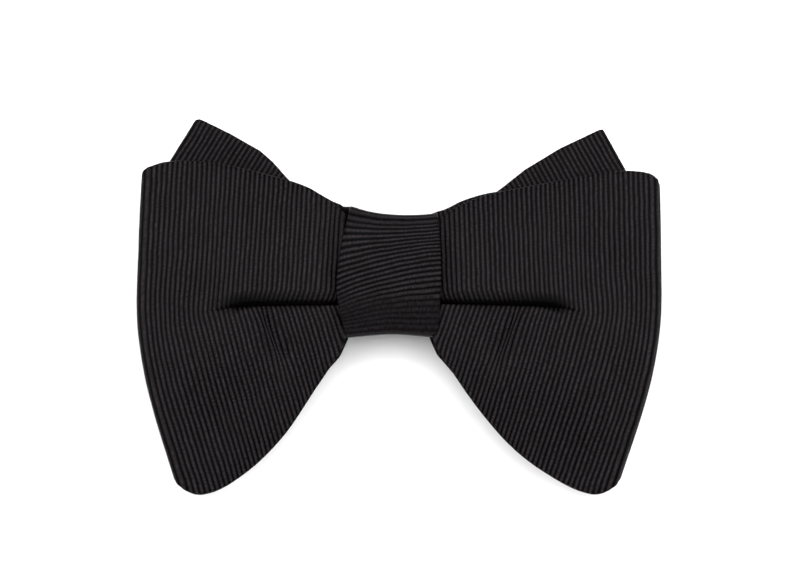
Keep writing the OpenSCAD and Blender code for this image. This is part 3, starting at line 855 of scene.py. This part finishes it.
def make_tail(side, name):
    """A tail: a shaped blade that shows its corner above the wing."""
    tail = TAILS[side]
    (x0, y0), (x1, y1) = tail["end"]
    along = np.array((x0 - x1, y0 - y1))
    along /= np.hypot(*along)
    across = np.array((along[1], -along[0]))
    outline = [*tail["outline"], (-TAIL_RAW, -10.5), (-TAIL_RAW, 10.5)]
    reach = np.array(outline) @ across
    top = reach.max() - TAIL_CLEAR
    s = along_ribs(reach.min() + TAIL_CLEAR, top, 5)
    s = np.unique(np.concatenate([s, top - np.array(EDGE_ROWS)]))
    low, high = crossings(outline, along, across, s)
    t = rows_between(low, np.maximum(high, low + TAIL_NARROW), [(None, 24)])
    centre = (low + high) / 2
    fit = np.minimum((high - low) / TAIL_NARROW, 1)
    t = centre + (t - (t[0] + t[-1]) / 2) * fit
    grid_s = np.broadcast_to(s, t.shape)
    x = grid_s * across[0] + t * along[0]
    y = grid_s * across[1] + t * along[1]
    knot_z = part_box(name)[0].z / MM + BLADE_THICK / 2
    tip_z = height(name) - BLADE_THICK / 2
    z = knot_z + (tip_z - knot_z) * smooth((x - 10) / 45)
    z = z + TAIL_UNEVEN * waves(x, y, 12, tail["seed"]) * smooth((x - 14) / 12)
    edge = np.minimum(np.minimum(t - t[0], t[-1] - t), top - grid_s)
    half = rounded(edge, BLADE_HALF)
    half[:, 0] = 0
    mid = np.stack([side * x, y, z], axis=-1)
    flat = np.stack([top - grid_s, side * t], axis=-1)
    if side < 0:
        mid, half, flat = mid[:, ::-1], half[:, ::-1], flat[:, ::-1]
    silk = sheet_mesh(f"{name}_silk", mid, half, flat, SILK)
    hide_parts(name)
    inner = np.s_[4:-4, 5:-5:2]
    return silk, make_canvas(f"{name}_canvas", f"{name}_interlining", mid, half, flat, inner)


# ---- Knot ----

KNOT_HALF_W = 12.0
KNOT_HALF_H = 14.0
# The edge of the wrap's front, with half the cloth's thickness and its ribs.
KNOT_SKIN = 0.75
KNOT_R = 2.5
KNOT_PUFF = 1.9
KNOT_LAP = 3.0
# The even painted light that the knot's flattened ribs show, from 0 for black to 1 for a lit
# crest.
KNOT_FLATTENED_LIGHT = 0.66
KNOT_UNEVEN = 0.25
# How steeply the ribs climb across the knot's front, and how much they bend over.
SLANT = 0.25
SLANT_BEND = 0.0064
# How far apart the points are that find the front of the wrap.
PATH_STEP = 0.1
# The knot's side edges and its top and bottom edges, from the front.
KNOT_LEFT = [(-15.4, -10.4), (-4.6, -12.4), (6, -11.3), (15.4, -9.2)]
KNOT_RIGHT = [(-15.4, 11.9), (0, 12.6), (13.9, 11.9)]
KNOT_TOP = [(-1, 15.7), (-0.55, 14.3), (0.1, 13.4), (0.7, 13.5), (1, 13.8)]
KNOT_BOTTOM = [(-1, 16.2), (0, 15.3), (1, 16.1)]


def corner(y, z, r, start):
    """A quarter turn round a point in Y and Z, from an angle in degrees."""
    return [(y + r * math.cos(math.radians(a)), z + r * math.sin(math.radians(a)))
            for a in np.linspace(start, start + 90, 8)]


def knot_loop():
    """The wrap seen from its side: the inner end, up over the front, down and lapped behind."""
    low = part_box("knot_wrap")[0].z / MM + BLADE_THICK / 2
    under = low + BLADE_THICK + 0.05
    front = height("knot_wrap") - BLADE_THICK / 2 - KNOT_PUFF
    y, r = KNOT_HALF_H, KNOT_R
    across = np.linspace(y - r, r - y, 13)
    dome = [(v, front + KNOT_PUFF * (1 - (v / (y - r)) ** 2)) for v in across]
    return np.array(
        [(-KNOT_LAP, under), *corner(y - r, under + r, r, -90), *corner(y - r, front - r, r, 0)]
        + dome[1:-1]
        + [*corner(r - y, front - r, r, 90), *corner(r - y, low + r, r, 180), (KNOT_LAP, low)]
    )


def evenly(path, step):
    """A path's length, and a function from distance along it to its points, which are made
    smooth over a step."""
    far = np.concatenate([[0], np.cumsum(np.hypot(*np.diff(path, axis=0).T))])
    places = np.arange(0, far[-1], step)
    fine = np.stack([np.interp(places, far, path[:, i]) for i in (0, 1)], axis=-1)
    for _ in range(6):
        fine[1:-1] = (fine[:-2] + 2 * fine[1:-1] + fine[2:]) / 4

    def point(at):
        return np.stack([np.interp(at, places, fine[:, i]) for i in (0, 1)], axis=-1)

    return far[-1], point


def make_knot():
    """The wrap of the knot: a strip round the waist whose ribs slant across its front."""
    path = knot_loop()
    length, place = evenly(path, 0.25)
    c = along_ribs(0, length, 6)
    v = rows_between(np.full(1, -KNOT_HALF_W), np.full(1, KNOT_HALF_W), [(None, 18)])[:, 0]
    v = v / KNOT_HALF_W
    # The ribs slant in the middle of the front and lie level where the wrap turns over.
    front = place(np.arange(0, length, PATH_STEP))
    on_front = front[:, 1] > front[:, 1].max() - KNOT_PUFF - 0.4
    first, last = np.flatnonzero(on_front)[[0, -1]] * PATH_STEP
    face = (first + last) / 2
    phase = np.clip((c - face) / (last - first + 6) * math.pi, -math.pi / 2, math.pi / 2)
    slant = np.cos(phase) ** 2
    x0 = KNOT_HALF_W * v[:, None]
    rise = SLANT * x0 - SLANT_BEND * x0**2
    at = np.clip(c[None, :] - rise * slant[None, :], 0, length)
    yz = place(at)
    y, z = yz[..., 0], yz[..., 1]
    frontness = smooth((z - 12) / 7)
    stretch = np.where(y > 0, through(KNOT_TOP, v)[:, None], through(KNOT_BOTTOM, v)[:, None])
    y = y * (1 + (stretch / (KNOT_HALF_H + KNOT_SKIN) - 1) * smooth(np.abs(y) / 10))
    left = through(KNOT_LEFT, y)
    right = through(KNOT_RIGHT, y)
    shaped = (left + right) / 2 + v[:, None] * (right - left) / 2
    x = shaped * frontness + x0 * (1 - frontness)
    z = z - 0.4 * np.abs(v[:, None]) ** 3 * frontness
    z = z + KNOT_UNEVEN * frontness * waves(x, y, size=7, seed=21)
    # Its ribs are drawn flattened, with an even painted shade in place of their painted
    # highlights, where it turns under at the bottom and a little at the top.
    flat_and_shaded = frontness * (0.7 * smooth((-y - 4) / 4) + 0.35 * smooth((y - 8) / 5))
    edge = np.minimum(KNOT_HALF_W * (1 + v), KNOT_HALF_W * (1 - v))[:, None]
    half = rounded(edge, BLADE_HALF) + 0 * z
    half[:, 0] = 0
    half[:, -1] = 0
    mid = np.stack([x, y, z], axis=-1)
    flat = np.stack([np.broadcast_to(c, z.shape), x0 + 0 * z], axis=-1)
    mid, half, flat, flat_and_shaded = mid[::-1], half[::-1], flat[::-1], flat_and_shaded[::-1]
    silk = sheet_mesh("knot_silk", mid, half, flat, SILK, flat_and_shaded=flat_and_shaded, flattened_light=KNOT_FLATTENED_LIGHT)
    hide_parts("knot_wrap")
    inner = np.s_[4:-4, 3:-3:3]
    return silk, make_canvas("knot_canvas", "knot_interlining", mid, half, flat, inner)


# ---- Neck strap ----

STRAP_THICK = height("strap_centre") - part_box("strap_centre")[0].z / MM
LABEL_HALF = 0.14
# Free height between the strap and its own end where it is tacked back.
TACK_GAP = 0.05


def local_x(value):
    """A place along X in the frame, in metres, as mm from the knot."""
    return (value - KNOT.x) / MM


def joint_place(name):
    """Where a hinge is, as X and Z in mm from the knot."""
    place = next(joint["pos_m"] for joint in frame["joints"] if joint["name"] == name)
    return local_x(place[0]), place[2] / MM


def ends(node):
    """Lowest and highest X of a node, in mm from the knot."""
    low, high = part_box(node)
    return local_x(low.x), local_x(high.x)


def band(node, path, start, name=None, material=SILK, half=STRAP_HALF, rib=STRAP_RIB):
    """A stretch of strap that follows a path of X and Z. Returns it and where it ends, counted
    along the strap from start, so that the ribs run on from one stretch to the next."""
    low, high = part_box(node)
    width = (high.y - low.y) / MM
    path = np.array(path, float)
    far = np.concatenate([[0], np.cumsum(np.hypot(*np.diff(path, axis=0).T))])
    first_crest = math.ceil(start / RIB_PITCH) * RIB_PITCH
    u = np.unique([start, *along_ribs(first_crest, start + far[-1], 5)])
    x = np.interp(u - start, far, path[:, 0])
    z = np.interp(u - start, far, path[:, 1])
    y = rows_between(np.full(1, -width / 2), np.full(1, width / 2), [(None, 6)])
    if path[-1, 0] < path[0, 0]:
        y = y[::-1]
    grid = np.ones((len(y), len(u)))
    thick = rounded(width / 2 - np.abs(y), half) * grid
    mid = np.stack([x * grid, y * grid, z * grid], axis=-1)
    flat = np.stack([u * grid, y * grid], axis=-1)
    piece = sheet_mesh(name or f"{node}_silk", mid, thick, flat, material, rib, capped=True)
    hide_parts(node)
    return piece, start + far[-1]


def half_turn(x, high, low, way):
    """A fold from a high layer to a low one. way is the side that it bulges to."""
    r = (high - low) / 2
    turns = np.linspace(0, math.pi, 16)
    return [(x + way * r * math.sin(a), (high + low) / 2 + r * math.cos(a)) for a in turns]


def make_folded_strap(side, word, start):
    """The strap on one side of the knot: its three folds and the two runs between them.
    Returns them, the last fold's outer end, and how far along the strap that is."""
    runs = [f"strap_{word}_run_{n}" for n in (2, 3)]
    folds = [f"strap_{word}_fold_{n}" for n in (1, 2, 3)]
    bodies = ["bow", *(f"{word}_run_{n}" for n in (2, 3, 4))]
    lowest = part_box(folds[-1])[0].z / MM + STRAP_THICK / 2
    levels = [middle("strap_centre", 2), *(middle(run, 2) for run in runs), lowest]
    low, high = ends(runs[0])
    outer, inner = (high, low) if side > 0 else (low, high)
    pieces = []
    for n, (x, way) in enumerate([(outer, side), (inner, -side), (outer, side)]):
        fold, start = band(folds[n], half_turn(x, levels[n], levels[n + 1], way), start)
        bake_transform(fold)
        pieces.append(fold)
        if n < len(runs):
            run_ends = (outer, inner) if x == outer else (inner, outer)
            run, start = band(runs[n], [(end, levels[n + 1]) for end in run_ends], start)
            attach(run, bodies[n + 1])
            pieces.append(run)
    return pieces, (outer, lowest), start


def make_hook_end(corner_place, start):
    """The left strap's last run: to the hook, round its bar and tacked back on itself."""
    low = corner_place[1]
    bar_x, bar_z = joint_place("hook_turn")
    turn = half_turn(bar_x, 2 * bar_z - low, low, 1)[::-1]
    tacked = low + STRAP_THICK + TACK_GAP
    tack_x = ends("hook_bartack")[0] - 1
    back = [(bar_x - 2.5 * (bar_z - low), tacked), (tack_x, tacked)]
    run, _ = band("strap_left_run_4", [corner_place, *turn, *back], start)
    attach(run, "left_run_4")
    return run


def make_eye_end(corner_place, start):
    """The right strap's last run, the slack that the slide lets out, the loop round the eye and
    the return that is crimped in the slide."""
    high = corner_place[1]
    low = middle("strap_return", 2)
    slack_x, loop_x = ends("strap_right_slack")[::-1]
    bar_x, _ = joint_place("eye_turn")
    run, start = band("strap_right_run_4", [corner_place, (slack_x, high)], start)
    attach(run, "right_run_4")
    slack, start = band("strap_right_slack", [(slack_x, high), (loop_x, high)], start)
    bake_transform(slack)
    turn = half_turn(bar_x, high, low, -1)
    loop, start = band("strap_eye_loop", [(loop_x, high), *turn, (loop_x, low)], start)
    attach(loop, "eye_loop")
    back, _ = band("strap_return", [(loop_x, low), (ends("strap_return")[1], low)], start)
    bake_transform(back)
    return [run, slack, loop, back]


def make_strap():
    """The whole neck strap, from the hook round to the slide. Returns its runs and folds."""
    left_x = ends("strap_left_run_2")[0]
    right_x = ends("strap_right_run_2")[1]
    z = middle("strap_centre", 2)
    centre, start = band("strap_centre", [(left_x, z), (right_x, z)], 0.0)
    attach(centre, "bow")
    left, left_end, left_start = make_folded_strap(-1, "left", 0.0)
    right, right_end, right_start = make_folded_strap(1, "right", start)
    left.append(make_hook_end(left_end, left_start))
    right += make_eye_end(right_end, right_start)
    return [centre, *left, *right]


def make_label():
    """The size label, sewn flat on the strap. It has no lettering."""
    z = middle("size_label", 2)
    path = [(x, z) for x in ends("size_label")]
    label, _ = band("size_label", path, 0.0, "label_cloth", LABEL, LABEL_HALF, 0)
    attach(label, "left_run_2")
    return label


# ---- What each sheet was cut to ----


def declare(piece):
    """Works out the size and area of a sheet's flat cut from its cloth map."""
    cloth = np.zeros(2 * len(piece.data.loops))
    piece.data.uv_layers["cloth"].data.foreach_get("uv", cloth)
    cloth = cloth.reshape(-1, 2) / DM_PER_M
    length, width = (float(side) for side in np.ptp(cloth, axis=0))
    area = 0.0
    for face in piece.data.polygons:
        x, y = cloth[list(face.loop_indices)].T
        area += abs(x @ np.roll(y, 1) - y @ np.roll(x, 1)) / 2
    # The front and back skins lie on the same place in the map.
    area = min(area / 2, width * length)


# ---- Studio ----

# Each soft box's place and size in metres, and its power in watts.
SOFT_BOXES = {
    "key": ((0.03, 0.26, 1.04), (0.9, 0.6), 19),
    "fill_left": ((-1.1, 0.0, 0.6), (0.6, 0.9), 9),
    "fill_right": ((1.1, 0.0, 0.6), (0.6, 0.9), 9),
    "fill_front": ((0, -1.0, 0.6), (1.1, 0.6), 2),
}
ROOM_STRENGTH = 0.3
FLOOR_HALF = 2.0
# The paper gives way a little, so that it shows no part that only touches it.
FLOOR_Z = -0.05


def soft_box(name, place, size, power):
    """A soft box that faces the tie."""
    data = bpy.data.lights.new(name, "AREA")
    data.shape = "RECTANGLE"
    data.size, data.size_y = size
    data.energy = power
    lamp = bpy.data.objects.new(name, data)
    lamp.location = place
    lamp.rotation_euler = (-Vector(place)).to_track_quat("-Z", "Y").to_euler()
    bpy.context.scene.collection.objects.link(lamp)


def make_studio():
    """A white paper floor under soft boxes and a pale room."""
    for name, light in SOFT_BOXES.items():
        soft_box(name, *light)
    world = bpy.data.worlds.new("studio")
    world.use_nodes = True
    background = world.node_tree.nodes["Background"]
    background.inputs["Color"].default_value = linear("#ffffff")
    background.inputs["Strength"].default_value = ROOM_STRENGTH
    bpy.context.scene.world = world
    bpy.context.scene.view_settings.view_transform = "Standard"
    mesh = bpy.data.meshes.new("floor")
    x, z = FLOOR_HALF, FLOOR_Z * MM
    mesh.from_pydata([(-x, -x, z), (x, -x, z), (x, x, z), (-x, x, z)], [], [(0, 1, 2, 3)])
    floor = bpy.data.objects.new("floor", mesh)
    bpy.context.scene.collection.objects.link(floor)
    mesh.materials.append(floor_paper())


def floor_paper():
    """White seamless paper: matt, with a fine soft tooth."""
    material, tree = new_material("seamless_paper")
    tooth = add(
        tree,
        "ShaderNodeTexNoise",
        values={"Scale": 1.0, "Detail": 2.0},
        links={"Vector": object_place(tree, 0.8)},
    ).outputs["Fac"]
    bump = add(
        tree,
        "ShaderNodeBump",
        values={"Strength": 0.1, "Distance": 0.02 * MM},
        links={"Height": tooth},
    ).outputs["Normal"]
    shader = add(
        tree,
        "ShaderNodeBsdfPrincipled",
        values={"Base Color": linear("#f4f4f4"), "Roughness": 0.8},
        links={"Normal": bump},
    )
    add(tree, "ShaderNodeOutputMaterial", links={"Surface": shader.outputs["BSDF"]})
    return material


# ---- The tie ----

make_camera()

bow = {piece.name: piece for piece in
       (*make_front_bow(), *make_tail(-1, "tail_left"), *make_tail(1, "tail_right"), *make_knot())}
for name, piece in bow.items():
    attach(piece, "bow")
strap = make_strap()
label = make_label()

THREADS = ("knot_stitches", "waist_thread", "label_stitches", "hook_bartack")
FITTINGS = ("hook", "eye", "slide_adjuster")
for nodes, material in ((THREADS, THREAD), (FITTINGS, STEEL)):
    for node in nodes:
        for place in frame["nodes"][node].material_slots:
            place.material = material

RESTS = {
    "front_bow": ("folded", ["tail_right_silk", "waist_thread"]),
    "tail_left": ("gathered", ["strap_centre_silk", "waist_thread"]),
    "tail_right": ("gathered", ["tail_left_silk", "waist_thread"]),
    "knot": ("folded", ["front_bow_silk", "strap_centre_silk"]),
}
for name, (held, rests_on) in RESTS.items():
    declare(bow[f"{name}_silk"])
folds = [piece for piece in strap if "_fold_" in piece.name or "_loop_" in piece.name]
runs = [piece for piece in strap if piece not in folds]
for run in runs:
    declare(run)
declare(label)

make_studio()
